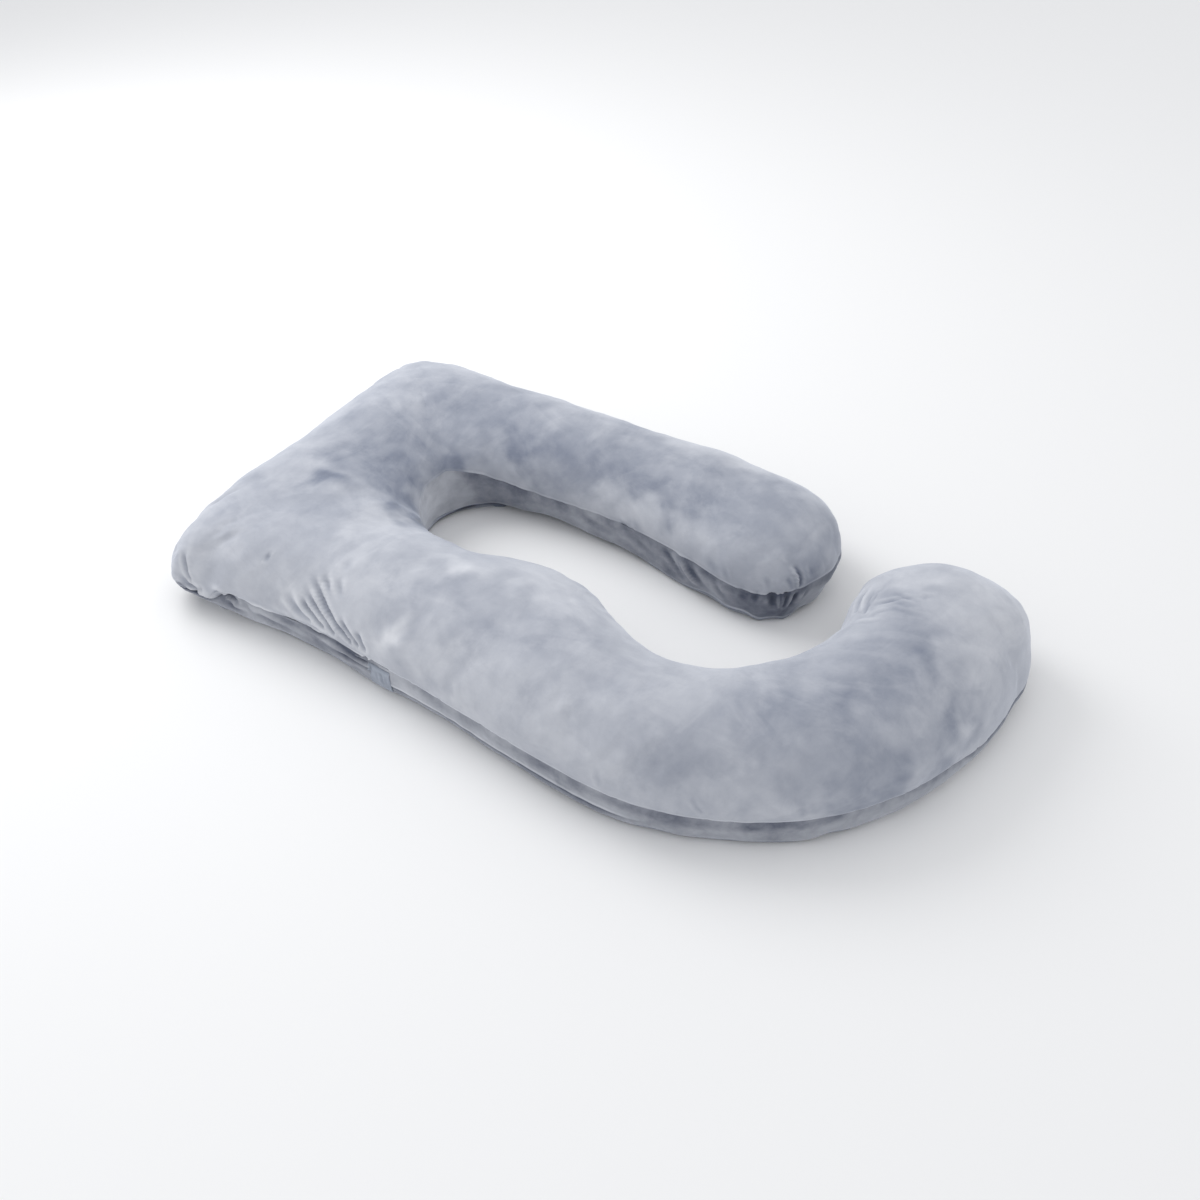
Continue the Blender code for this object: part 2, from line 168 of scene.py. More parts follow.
# The fine creases show as troughs with raised lips: path, half width, depth and tail. Each follows
# the cloth along its path and starts from nothing. Its tail is the share of its depth at its end.
Crease = namedtuple("Crease", "path width depth tail")
CREASES = (
    # fan of pull folds above the start of the zip
    (((-0.386, -0.346, 0.118), (-0.366, -0.354, 0.101), (-0.35, -0.356, 0.089),
      (-0.328, -0.358, 0.08)), 0.0062, 0.004, 0.7),
    (((-0.352, -0.347, 0.12), (-0.337, -0.351, 0.103), (-0.322, -0.354, 0.092),
      (-0.298, -0.357, 0.082)), 0.0048, 0.0075, 0.9),
    (((-0.347, -0.338, 0.13), (-0.323, -0.349, 0.113), (-0.3, -0.354, 0.099),
      (-0.274, -0.358, 0.082)), 0.0045, 0.007, 0.9),
    (((-0.348, -0.317, 0.147), (-0.325, -0.328, 0.134), (-0.309, -0.334, 0.121),
      (-0.289, -0.343, 0.109), (-0.267, -0.354, 0.096), (-0.238, -0.361, 0.082)),
     0.0044, 0.0076, 1.0),
    (((-0.324, -0.308, 0.151), (-0.305, -0.322, 0.139), (-0.288, -0.335, 0.129)), 0.0045, 0.004, 0.0),
    (((-0.296, -0.307, 0.152), (-0.279, -0.321, 0.143), (-0.268, -0.333, 0.136)), 0.005, 0.003, 0.0),
    (((-0.3, -0.275, 0.163), (-0.282, -0.295, 0.157)), 0.006, 0.0018, 0.0),
    (((-0.268, -0.35, 0.113), (-0.247, -0.356, 0.099), (-0.223, -0.362, 0.082)), 0.0042, 0.006, 1.0),
    (((-0.226, -0.353, 0.106), (-0.218, -0.358, 0.094), (-0.208, -0.362, 0.08)), 0.005, 0.0045, 1.0),
    (((-0.44, -0.322, 0.145), (-0.431, -0.324, 0.143), (-0.425, -0.324, 0.144)), 0.005, 0.0035, 0.0),
    # drawn cloth on the band left of the tab
    (((-0.37, -0.354, 0.07), (-0.29, -0.356, 0.063), (-0.205, -0.357, 0.053)), 0.004, 0.0036, 0.3),
    (((-0.31, -0.354, 0.058), (-0.26, -0.356, 0.053), (-0.204, -0.357, 0.047)), 0.002, 0.0022, 0.8),
    (((-0.29, -0.354, 0.064), (-0.24, -0.356, 0.056), (-0.2, -0.357, 0.05)), 0.0024, -0.0026, 1.0),
    (((-0.33, -0.348, 0.05), (-0.26, -0.352, 0.046), (-0.2, -0.354, 0.043)), 0.0028, -0.003, 1.0),
    (((-0.3, -0.342, 0.034), (-0.25, -0.346, 0.035), (-0.2, -0.351, 0.036)), 0.004, 0.0038, 1.0),
    (((-0.47, -0.36, 0.046), (-0.4, -0.352, 0.036), (-0.34, -0.346, 0.03)), 0.008, 0.0024, 0.2),
    (((-0.42, -0.362, 0.064), (-0.37, -0.356, 0.052), (-0.32, -0.35, 0.046)), 0.006, 0.002, 0.2),
    # raised edge with a painted highlight, stitched top and stitched dents of the tab
    (((-0.199, -0.361, 0.052), (-0.198, -0.358, 0.04), (-0.197, -0.354, 0.028)), 0.0014, -0.0008, 1.0),
    (((-0.204, -0.361, 0.054), (-0.18, -0.363, 0.054), (-0.157, -0.363, 0.053)), 0.0016, 0.0016, 1.0),
    (((-0.184, -0.362, 0.052), (-0.182, -0.356, 0.03)), 0.0022, 0.001, 1.0),
    (((-0.174, -0.362, 0.05), (-0.17, -0.356, 0.028)), 0.0026, 0.0016, 0.6),
    (((-0.164, -0.363, 0.048), (-0.163, -0.357, 0.034)), 0.0022, 0.0012, 0.4),
    # corner tucks of the head end
    (((-0.598, -0.36, 0.112), (-0.593, -0.369, 0.096), (-0.588, -0.373, 0.084),
      (-0.58, -0.374, 0.07)), 0.0036, 0.005, 1.0),
    (((-0.616, -0.378, 0.056), (-0.6, -0.376, 0.052), (-0.582, -0.376, 0.05),
      (-0.56, -0.376, 0.052)), 0.0045, 0.0045, 0.6),
    (((-0.604, -0.376, 0.066), (-0.59, -0.372, 0.06), (-0.572, -0.366, 0.046)), 0.006, 0.006, 0.8),
    (((-0.536, -0.376, 0.056), (-0.516, -0.374, 0.054), (-0.49, -0.368, 0.05)), 0.005, 0.006, 0.5),
    (((-0.535, -0.368, 0.042), (-0.505, -0.364, 0.038), (-0.47, -0.36, 0.034)), 0.004, 0.003, 0.3),
    (((-0.53, -0.372, 0.049), (-0.5, -0.367, 0.044), (-0.46, -0.362, 0.042)), 0.0022, -0.002, 0.3),
    (((-0.48, -0.368, 0.062), (-0.44, -0.364, 0.05), (-0.39, -0.356, 0.046)), 0.005, -0.002, 0.3),
    # short arm's end, on the crown
    (((0.177, 0.115, 0.102), (0.187, 0.113, 0.091), (0.192, 0.111, 0.082)), 0.004, 0.0014, 0.4),
    (((0.251, 0.132, 0.103), (0.257, 0.129, 0.09), (0.258, 0.128, 0.082)), 0.0036, 0.0014, 0.4),
    (((0.277, 0.15, 0.104), (0.286, 0.153, 0.088), (0.288, 0.154, 0.08)), 0.0036, 0.0026, 0.5),
    (((0.282, 0.157, 0.124), (0.289, 0.165, 0.098), (0.294, 0.164, 0.08)), 0.0026, -0.0034, 1.0),
    (((0.285, 0.164, 0.122), (0.293, 0.172, 0.096), (0.298, 0.168, 0.08)), 0.0032, 0.0036, 1.0),
    (((0.3, 0.19, 0.108), (0.308, 0.196, 0.086)), 0.0045, 0.0012, 0.4),
    (((0.308, 0.214, 0.112), (0.316, 0.22, 0.086)), 0.004, 0.0012, 0.4),
    (((0.292, 0.186, 0.118), (0.302, 0.184, 0.088)), 0.003, -0.0007, 0.4),
    (((0.262, 0.16, 0.13), (0.272, 0.166, 0.118)), 0.003, -0.0008, 0.2),
    # short arm's end, on the band
    (((0.214, 0.109, 0.078), (0.222, 0.114, 0.046)), 0.005, 0.0014, 0.2),
    (((0.242, 0.119, 0.076), (0.24, 0.12, 0.05)), 0.004, 0.0026, 0.3),
    (((0.262, 0.133, 0.07), (0.265, 0.137, 0.04)), 0.005, 0.0034, 0.4),
    (((0.27, 0.141, 0.068), (0.272, 0.145, 0.038)), 0.0022, -0.0018, 0.6),
    (((0.281, 0.154, 0.068), (0.277, 0.153, 0.04)), 0.0034, 0.004, 0.6),
    (((0.285, 0.162, 0.066), (0.281, 0.16, 0.038)), 0.002, -0.0018, 0.6),
    (((0.291, 0.17, 0.066), (0.286, 0.164, 0.036)), 0.0042, 0.0044, 0.3),
    (((0.302, 0.186, 0.066), (0.298, 0.182, 0.04)), 0.004, 0.002, 0.3),
    # drawn cloth along the short arm's band
    (((0.035, 0.142, 0.072), (0.062, 0.138, 0.052), (0.09, 0.133, 0.03)), 0.006, 0.003, 0.3),
    (((0.083, 0.134, 0.07), (0.098, 0.13, 0.052), (0.122, 0.126, 0.034)), 0.0045, -0.003, 0.3),
    (((0.1, 0.13, 0.066), (0.122, 0.125, 0.048), (0.146, 0.121, 0.034)), 0.006, 0.0028, 0.3),
    (((0.15, 0.12, 0.07), (0.172, 0.114, 0.048), (0.19, 0.112, 0.034)), 0.006, 0.0022, 0.3),
    (((-0.06, 0.152, 0.07), (-0.02, 0.148, 0.054), (0.02, 0.142, 0.04)), 0.007, 0.002, 0.3),
    (((-0.16, 0.15, 0.068), (-0.12, 0.148, 0.052), (-0.08, 0.146, 0.04)), 0.007, 0.002, 0.3),
    # puckers at the hook's notch
    (((0.413, 0.175, 0.128), (0.414, 0.143, 0.125), (0.424, 0.102, 0.129)), 0.005, 0.003, 0.6),
    (((0.424, 0.164, 0.137), (0.424, 0.134, 0.134), (0.434, 0.096, 0.138)), 0.003, -0.0022, 0.5),
    (((0.434, 0.153, 0.146), (0.434, 0.124, 0.143), (0.445, 0.089, 0.146)), 0.004, 0.0036, 0.6),
    (((0.447, 0.146, 0.156), (0.438, 0.136, 0.149), (0.446, 0.105, 0.151)), 0.0034, 0.0026, 0.4),
    (((0.445, 0.1, 0.152), (0.478, 0.111, 0.171), (0.501, 0.124, 0.178)), 0.004, 0.0024, 0.2),
    (((0.461, 0.132, 0.163), (0.487, 0.123, 0.175), (0.516, 0.113, 0.182)), 0.0036, 0.002, 0.2),
    (((0.455, 0.063, 0.156), (0.466, 0.081, 0.164), (0.488, 0.086, 0.175)), 0.004, 0.0016, 0.2),
    (((0.511, 0.12, 0.181), (0.524, 0.136, 0.182), (0.537, 0.141, 0.182)), 0.004, 0.0014, 0.2),
    (((0.432, 0.066, 0.134), (0.458, 0.062, 0.158), (0.487, 0.061, 0.173)), 0.0045, -0.0014, 0.2),
    (((0.473, 0.1, 0.167), (0.504, 0.088, 0.18), (0.524, 0.102, 0.183)), 0.0036, -0.001, 0.2),
    # front seam of the hook
    (((0.392, -0.366, 0.104), (0.402, -0.361, 0.09), (0.408, -0.356, 0.078)), 0.0036, 0.0014, 1.0),
    (((0.252, -0.386, 0.108), (0.262, -0.39, 0.078)), 0.0045, 0.001, 1.0),
    (((0.52, -0.28, 0.106), (0.532, -0.28, 0.078)), 0.0045, 0.001, 1.0),
)
DROOP_REACH = 0.045  # how far up the crown a droop is felt
SEAM_UNEVEN = 0.0006  # how far the top seam wanders up and down
CREASE_REACH = 0.016  # a crease belongs to a piece that comes this near to it
CREASE_STEPS = 9
LIP = 0.35  # height of a crease's lips as a share of its depth

PINCH = 0.0022  # how far a seam draws the cloth in
PINCH_WIDTH = 0.0045  # half width of the groove it makes
PUCKER_SEED = 7
# The bottom panel's rolled edge, as rings from the band's foot down: reach out of the bottom
# seam and height over it. Below them the panel turns under, to the ground.
ROLL = (
    (-0.0006, 0.003), (0.0004, 0.0014), (0.0002, -0.0004), (-0.0006, -0.0024), (-0.0016, -0.0044)
)
# Painted tones of the rolled edge's rings, top down: a painted highlight on the roll, then painted
# shade where it turns under.
ROLL_HIGHLIGHT_AND_SHADE = (0.0, 0.12, -0.1, -0.5, -0.7)
UNDERCUT = 0.0045

# ---------------------------------------------------------------- the shape, as in the solids


def spline_through(rows, counts):
    """A smooth curve through the table's rows, with the given number of slices in each span."""
    before = 2 * rows[0] - rows[1]
    after = 2 * rows[-1] - rows[-2]
    rows = np.vstack([before, rows, after])
    points = []
    for span, count in enumerate(counts):
        a, b, c, d = rows[span : span + 4]
        for t in np.arange(count) / count:
            cubic = -a + 3 * b - 3 * c + d
            square = 2 * a - 5 * b + 4 * c - d
            points.append(b + 0.5 * t * (c - a + t * (square + t * cubic)))
    points.append(rows[-2])
    return np.array(points)


def crowded(share):
    """Even places from -1 to 1, crowded towards both ends."""
    return np.sign(share) * (1 - (1 - np.abs(share)) ** EDGE_CROWDING)


def stations(split):
    """Every slice: its section values, its place in a rounded end, 0 to 1, and that end's reach."""
    table = np.array(SECTIONS, dtype=float)
    steps = np.diff(table, axis=0)
    spans = np.maximum(np.hypot(steps[:, 0], steps[:, 1]), np.hypot(steps[:, 2], steps[:, 3]))
    middles = (table[1:, :2] + table[:-1, :2]) / 2
    close = (middles[:, 1] < 0) & (middles[:, 0] > CROWDED_X[0]) & (middles[:, 0] < CROWDED_X[1])
    counts = np.ceil(spans * np.where(close, 2, 1) / CELL).astype(int)
    sections = spline_through(table, counts * split)

    def rounded(reach):
        count = int(np.ceil(1.6 * np.hypot(*reach) / CELL)) * split
        return np.sin(crowded(np.linspace(0, 1, count + 1)[1:]) * np.pi / 2)

    first = [(sections[0], u, np.array(ARM_END)) for u in rounded(ARM_END)[::-1]]
    middle = [(section, 0.0, np.zeros(2)) for section in sections]
    last = [(sections[-1], u, np.array(HOOK_END)) for u in rounded(HOOK_END)]
    return first + middle + last


def disc_place(u, v):
    """Bend the square of end place and cross place into a round end: along, across and radius."""
    along = u * np.sqrt(1 - v * v / 2)
    across = v * np.sqrt(1 - u * u / 2)
    radius = np.sqrt(np.clip(1 - (1 - u * u) * (1 - v * v), 0, 1))
    return along, across, radius


def slice_points(section, u, reach, split):
    """One slice: its points over the crown and on the bottom seam."""
    outer, inner = section[0:2], section[2:4]
    top, outer_turn, inner_turn, outer_foot, inner_foot = section[4:9]
    centre = (outer + inner) / 2
    half = (outer - inner) / 2
    v = np.sin(crowded(np.linspace(-1, 1, ACROSS * split + 1)) * np.pi / 2)
    along, across, radius = disc_place(u, v)
    safe = np.maximum(radius, 1e-9)
    side = (across / safe + 1) / 2
    turn = np.radians(inner_turn + (outer_turn - inner_turn) * side)
    angle = turn * np.arcsin(radius) * 2 / np.pi
    spread = np.where(radius > 1e-9, np.sin(angle) / safe, 1.0)
    foot = inner_foot + (outer_foot - inner_foot) * side
    seam = 1 - foot / np.linalg.norm(half)

    def placed(scale, height):
        flat = centre + np.outer(along * scale, reach) + np.outer(across * scale, half)
        return np.column_stack([flat, height])

    crown = placed(spread, BELLY + (top - BELLY) * np.cos(angle))
    seam_points = placed(seam, np.full(len(v), RIM_LIFT))
    return crown, seam_points


def rim_path(rows, columns):
    """Grid places round the edge, counter-clockwise: outer side, hook end, inner side, arm end."""
    path = [(i, columns - 1) for i in range(rows)]
    path += [(rows - 1, j) for j in range(columns - 2, -1, -1)]
    path += [(i, 0) for i in range(rows - 2, -1, -1)]
    path += [(0, j) for j in range(1, columns - 1)]
    return path


def unit(vectors):
    return vectors / np.linalg.norm(vectors, axis=-1, keepdims=True)


def bell(offset, width):
    """1 where there is no offset, and falling off smoothly over the width."""
    return np.exp(-((offset / width) ** 2))


def smooth_step(share):
    share = np.clip(share, 0, 1)
    return share * share * (3 - 2 * share)


def along_line(points, line):
    """Distance from each point to a line of several stretches, and its place along it, 0 to 1."""
    lengths = np.linalg.norm(np.diff(line, axis=0), axis=1)
    done = np.concatenate([[0], np.cumsum(lengths)]) / lengths.sum()
    nearest = np.full(points.shape[:-1], np.inf)
    place = np.zeros(points.shape[:-1])
    for k in range(len(line) - 1):
        run = line[k + 1] - line[k]
        share = np.clip((points - line[k]) @ run / (run @ run), 0, 1)
        away = np.linalg.norm(points - line[k] - share[..., None] * run, axis=-1)
        closer = away < nearest
        nearest = np.where(closer, away, nearest)
        place = np.where(closer, done[k] + share * (done[k + 1] - done[k]), place)
    return nearest, place


def fold_depth(points):
    """How deep each point is pressed in by the main folds."""
    depth = np.zeros(points.shape[:-1])
    for fold in FOLDS:
        away = along_line(points, np.array([fold.start, fold.end]))[0]
        depth += fold.depth * bell(away, fold.width)
    return depth


def resampled(path, steps):
    path = np.array(path)
    places = np.linspace(0, len(path) - 1, steps)
    return np.column_stack([np.interp(places, np.arange(len(path)), path[:, k]) for k in range(3)])


def crease_depth(points):
    """How deep each point is pressed in by the fine creases, laid onto the points' surface."""
    tree = tree_of(points)
    depth = np.zeros(len(points))
    for crease in (Crease(*row) for row in CREASES):
        hits = [tree.find(Vector(point)) for point in resampled(crease.path, CREASE_STEPS)]
        line = np.array([hit[0] for hit in hits if hit[2] < CREASE_REACH])
        if len(line) < CREASE_STEPS // 2:
            continue
        line[1:-1] = (line[:-2] + 2 * line[1:-1] + line[2:]) / 4
        line = line[np.concatenate([[True], np.linalg.norm(np.diff(line, axis=0), axis=1) > 1e-5])]
        if len(line) < 2:
            continue
        near = np.all(np.abs(points - line.mean(axis=0)) < np.ptp(line, axis=0) + 0.05, axis=1)
        away, place = along_line(points[near], line)
        away = away / (crease.width * (1.25 - 0.4 * place))
        size = smooth_step(place / 0.4) * (1 - (1 - crease.tail) * smooth_step((place - 0.5) / 0.5))
        shape = bell(away, 1) - LIP * bell(away - 1.9, 0.8)
        depth[near] += crease.depth * size * shape
    return depth


def tree_of(points):
    tree = kdtree.KDTree(len(points))
    for k, point in enumerate(points):
        tree.insert(point, k)
    tree.balance()
    return tree


def sag_height(points, sags):
    total = np.zeros(points.shape[:-1])
    for sag in sags:
        away = np.hypot(points[..., 0] - sag.x, points[..., 1] - sag.y)
        total += sag.height * bell(away, sag.width)
    return total


class Shell:
    """The pillow's shape: the crown as a grid, and the band's surface round its rim."""

    def __init__(self, split):
        slices = [slice_points(*station, split) for station in stations(split)]
        self.crown = np.array([points[0] for points in slices])
        self.path = rim_path(*self.crown.shape[:2])
        self.rim = tuple(np.array(self.path).T)
        low = bell(self.crown[..., 2] - BELLY, DROOP_REACH)
        uneven = SEAM_UNEVEN * MIDDLE.at(self.crown) + SEAM_UNEVEN * SMALL.at(self.crown)
        self.crown[..., 2] -= (sag_height(self.crown, DROOPS) + uneven) * low
        self.top_rim = self.crown[self.rim]
        self.bottom_rim = np.array([points[1] for points in slices])[self.rim]
        self.bottom_rim[:, 2] += sag_height(self.top_rim, LIFTS)

    def band_ring(self, share):
        """A ring on the band, a share of the way down it, and its outward normals."""
        top, bottom = self.top_rim, self.bottom_rim
        curl = np.column_stack([top[:, :2], bottom[:, 2] + CURL_RISE])
        points = (1 - share) ** 2 * top + 2 * share * (1 - share) * curl + share**2 * bottom
        down = unit((1 - share) * (curl - top) + share * (bottom - curl))
        around = np.roll(top, -1, axis=0) - np.roll(top, 1, axis=0)
        return points, unit(np.cross(down, around))

    def outer_index(self, x):
        """The rim point on the long front side that is nearest to the given X."""
        front = [k for k in range(len(self.path) // 2) if self.top_rim[k, 1] < 0]
        return min(front, key=lambda k: abs(self.top_rim[k, 0] - x))


# ---------------------------------------------------------------- small surface relief


class Waves:
    """Gentle irregular waves in space, as a sum of plane waves of about one length."""

    def __init__(self, length, seed, count=18):
        rng = np.random.default_rng(seed)
        directions = unit(rng.normal(size=(count, 3)))
        scales = rng.uniform(0.75, 1.35, count) * 2 * np.pi / length
        self.waves = directions * scales[:, None]
        self.phases = rng.uniform(0, 2 * np.pi, count)

    def at(self, points):
        total = np.zeros(points.shape[:-1])
        for wave, phase in zip(self.waves, self.phases):
            total += np.sin(points @ wave + phase)
        return total / np.sqrt(len(self.phases) / 2)


BROAD = Waves(0.21, 3)
MIDDLE = Waves(0.085, 5)
SMALL = Waves(0.032, 11)


def measured(points):
    """Distance round a closed ring to each of its points, and the ring's whole length."""
    steps = np.linalg.norm(np.roll(points, -1, axis=0) - points, axis=1)
    return np.concatenate([[0], np.cumsum(steps)[:-1]]), steps.sum()


class Puckers:
    """Short gathers that a seam pulls into the cloth on both sides of it."""

    def __init__(self, rim, seed):
        self.places, self.length = measured(rim)
        rng = np.random.default_rng(seed)
        count = int(self.length / 0.017)
        self.at = np.sort(rng.uniform(0, self.length, count))
        self.width = rng.uniform(0.0022, 0.0050, count)
        self.reach = rng.uniform(0.008, 0.026, count)
        self.slant = rng.normal(0, 0.45, count)
        self.depth = rng.uniform(0.1, 1.0, count) ** 2 * 0.0011

    def depths(self, place, away):
        """Depth at a distance round the seam and a distance away from it."""
        total = np.zeros(len(place))
        near = away < 0.06
        for at, width, reach, slant, depth in zip(
            self.at, self.width, self.reach, self.slant, self.depth
        ):
            off = (place[near] - at - slant * away[near] + self.length / 2) % self.length
            off -= self.length / 2
            wide = width * (1 + away[near] / reach)
            total[near] += depth * np.exp(-((off / wide) ** 2) - (away[near] / reach) ** 2)
        return total


def relief(points, puckers, place, away):
    """How far the finished cloth is pressed in at each point, apart from the folds."""
    depth = PINCH * bell(away, PINCH_WIDTH)
    depth += puckers.depths(place, away)
    calm = 1 - bell(away, 0.03)
    depth += 0.0011 * BROAD.at(points) * calm
    depth += 0.0005 * MIDDLE.at(points)
    depth += 0.00018 * SMALL.at(points)
    return depth


# ---------------------------------------------------------------- the stuffed body


def grid_normals(grid):
    return unit(np.cross(np.gradient(grid, axis=1), np.gradient(grid, axis=0)))


def folded_crown(shell):
    """The crown with the main folds pressed in. Its rim follows the band's own direction."""
    crown = shell.crown - grid_normals(shell.crown) * fold_depth(shell.crown)[..., None]
    ring, out = shell.band_ring(0.0)
    crown[shell.rim] = ring - out * fold_depth(ring)[:, None]
    return crown


def link(name, data):
    thing = bpy.data.objects.new(name, data)
    bpy.context.scene.collection.objects.link(thing)
    return thing


def closed_mesh(name, points, faces):
    """A mesh with its faces turned outwards. Faces of many sides are cut into triangles."""
    mesh = bpy.data.meshes.new(name)
    mesh.from_pydata(points.tolist(), [], faces)
    builder = bmesh.new()
    builder.from_mesh(mesh)
    bmesh.ops.triangulate(builder, faces=[face for face in builder.faces if len(face.verts) > 4])
    bmesh.ops.recalc_face_normals(builder, faces=builder.faces[:])
    builder.to_mesh(mesh)
    builder.free()
    return mesh


def smoothed_ring(ring, reach):
    """A closed ring, each point the average of those at most so many places from it."""
    turned = [np.roll(ring, step, axis=0) for step in range(-reach, reach + 1)]
    return sum(turned) / len(turned)


def body_mesh(shell, crown):
    """The crown, a recess behind the band, the bottom panel's rolled edge and the flat base."""
    rings = []
    for share in (0.03, 0.5, BAND_FOOT - 0.03):
        ring, out = shell.band_ring(share)
        rings.append(ring - out * (CAVITY + fold_depth(ring))[:, None])
    ring, out = shell.band_ring(1.0)
    outward = unit(out * (1, 1, 0))
    foot = ring - out * fold_depth(ring)[:, None]
    for reach, rise in ROLL:
        rings.append(foot + outward * reach + (0, 0, rise))
    under = smoothed_ring(foot - outward * (UNDERCUT + foot[:, 2:] * 0.4), 3)
    rings.append(under * (1, 1, 0))
    even = smoothed_ring(under, 10)
    ahead = np.roll(even, -8, axis=0) - np.roll(even, 8, axis=0)
    rings.append((even - unit(np.cross(ahead, (0, 0, 1))) * BASE_EDGE) * (1, 1, 0))

    rows, columns = crown.shape[:2]
    index = np.arange(rows * columns).reshape(rows, columns)
    corners = (index[:-1, :-1], index[:-1, 1:], index[1:, 1:], index[1:, :-1])
    faces = np.stack(corners, axis=-1).reshape(-1, 4).tolist()
    upper = index[shell.rim]
    points = [crown.reshape(-1, 3)]
    size = len(upper)
    for place, ring in enumerate(rings):
        lower = rows * columns + place * size + np.arange(size)
        points.append(ring)
        faces += np.stack((upper, np.roll(upper, -1), np.roll(lower, -1), lower), axis=-1).tolist()
        upper = lower
    faces.append(upper.tolist())
    return closed_mesh("pillow", np.vstack(points), faces)


def points_of(mesh):
    points = np.empty(len(mesh.vertices) * 3)
    mesh.vertices.foreach_get("co", points)
    return points.reshape(-1, 3)


def normals_of(mesh):
    normals = np.empty(len(mesh.vertices) * 3)
    mesh.vertex_normals.foreach_get("vector", normals)
    return normals.reshape(-1, 3)


def set_points(mesh, points):
    mesh.vertices.foreach_set("co", np.asarray(points, dtype=np.float32).ravel())
    mesh.update()


def applied(thing):
    """Replace an object's mesh by its evaluated one and drop its modifiers."""
    graph = bpy.context.evaluated_depsgraph_get()
    mesh = bpy.data.meshes.new_from_object(thing.evaluated_get(graph), depsgraph=graph)
    thing.modifiers.clear()
    thing.data = mesh


def swelling(shell):
    """How air pressure moves the coarse crown, with its seam held and each point's way capped."""
    crown = folded_crown(shell)
    thing = link("plumped", body_mesh(shell, crown))
    mesh = thing.data
    held = np.ones(len(mesh.vertices), dtype=bool)
    inner = np.zeros(crown.shape[:2], dtype=bool)
    inner[1:-1, 1:-1] = True
    held[: inner.size] = ~inner.ravel()
    thing.vertex_groups.new(name="held").add(np.flatnonzero(held).tolist(), 1.0, "REPLACE")
    start = points_of(mesh) - normals_of(mesh) * (SHRINK * ~held)[:, None]
    set_points(mesh, start)
    cloth = thing.modifiers.new("Cloth", "CLOTH")
    cloth.settings.use_pressure = True
    cloth.settings.uniform_pressure_force = PRESSURE
    cloth.settings.effector_weights.gravity = 0.0
    cloth.settings.vertex_group_mass = "held"
    cloth.settings.quality = 6
    cloth.settings.mass = 0.3
    cloth.settings.tension_stiffness = 25
    cloth.settings.compression_stiffness = 25
    cloth.settings.shear_stiffness = 8
    cloth.settings.bending_stiffness = 1.0
    cloth.collision_settings.use_collision = False
    cloth.point_cache.frame_start = 1
    cloth.point_cache.frame_end = SIM_FRAMES
    scene = bpy.context.scene
    for step in range(1, SIM_FRAMES + 1):
        scene.frame_set(step)
    applied(thing)
    scene.frame_set(1)
    moved = points_of(thing.data) - start
    size = np.linalg.norm(moved, axis=1, keepdims=True)
    moved *= np.minimum(1, SWELL_CAP / np.maximum(size, 1e-9))
    bpy.data.objects.remove(thing)
    swollen = (start + moved)[: inner.size].reshape(crown.shape)
    return swollen - crown


def refined(grid):
    """A coarse grid of values, made SPLIT times finer both ways by smooth curves."""
    for turn in range(2):
        rows, columns, values = grid.shape
        fine = spline_through(grid.reshape(rows, -1), [SPLIT] * (rows - 1))
        grid = fine.reshape(-1, columns, values).transpose(1, 0, 2)
    return grid


def make_pillow(fine, puckers):
    crown = folded_crown(fine)
    crown += refined(swelling(Shell(1)))
    points = crown.reshape(-1, 3)
    ring, out = fine.band_ring(0.0)
    tree = tree_of(ring)
    found = [tree.find(point) for point in points]
    nearest = np.array([hit[1] for hit in found])
    away = np.array([hit[2] for hit in found])
    lean = bell(away, 0.008)[:, None]
    press = unit(grid_normals(crown).reshape(-1, 3) * (1 - lean) + out[nearest] * lean)
    crease = crease_depth(points)
    depth = relief(points, puckers, puckers.places[nearest], away) + crease
    crown = (points - press * depth[:, None]).reshape(crown.shape)
    pillow = link("pillow", body_mesh(fine, crown))
    mesh = pillow.data
    mesh.shade_smooth()
    mesh.set_sharp_from_angle(angle=np.radians(70))
    tone = np.zeros(len(mesh.vertices))
    # painted shade in the creases' troughs, painted highlights on their raised lips and a painted
    # highlight along the crown just inside the top seam
    tone[: len(points)] = crease_shade_and_highlight(crease) + 0.16 * bell(away - 0.003, 0.0025)
    rings = tone[len(points) :].reshape(-1, len(ring))
    # a painted highlight and painted shade on the bottom panel's rolled edge
    rings[-2 - len(ROLL) : -2] = np.array(ROLL_HIGHLIGHT_AND_SHADE)[:, None]
    # painted shade on the turned-under edge and the flat base
    rings[-2:] = -0.4
    give_tone_and_painted_shading(mesh, PATCHES, tone, 1.0)
    return pillow


# ---------------------------------------------------------------- band, zip strips and tab


# Painted shade and painted highlights in the band's colour:
SEAM_SHADE = 0.22  # darker under the top seam
FRONT_SHADE = 0.16  # and more so along the front
FOOT_LIGHT = 0.22  # lighter just above the bottom seam
LIP_LIGHT = 0.36  # lighter on the lip over the zip's slit
SLIT_SHADE = 0.30  # darker at the slit
STRIP_SHADE = 0.25  # darker on the strip under the slit
ZIP_FADE = 0.08  # stretch over which the zip's tones fade out


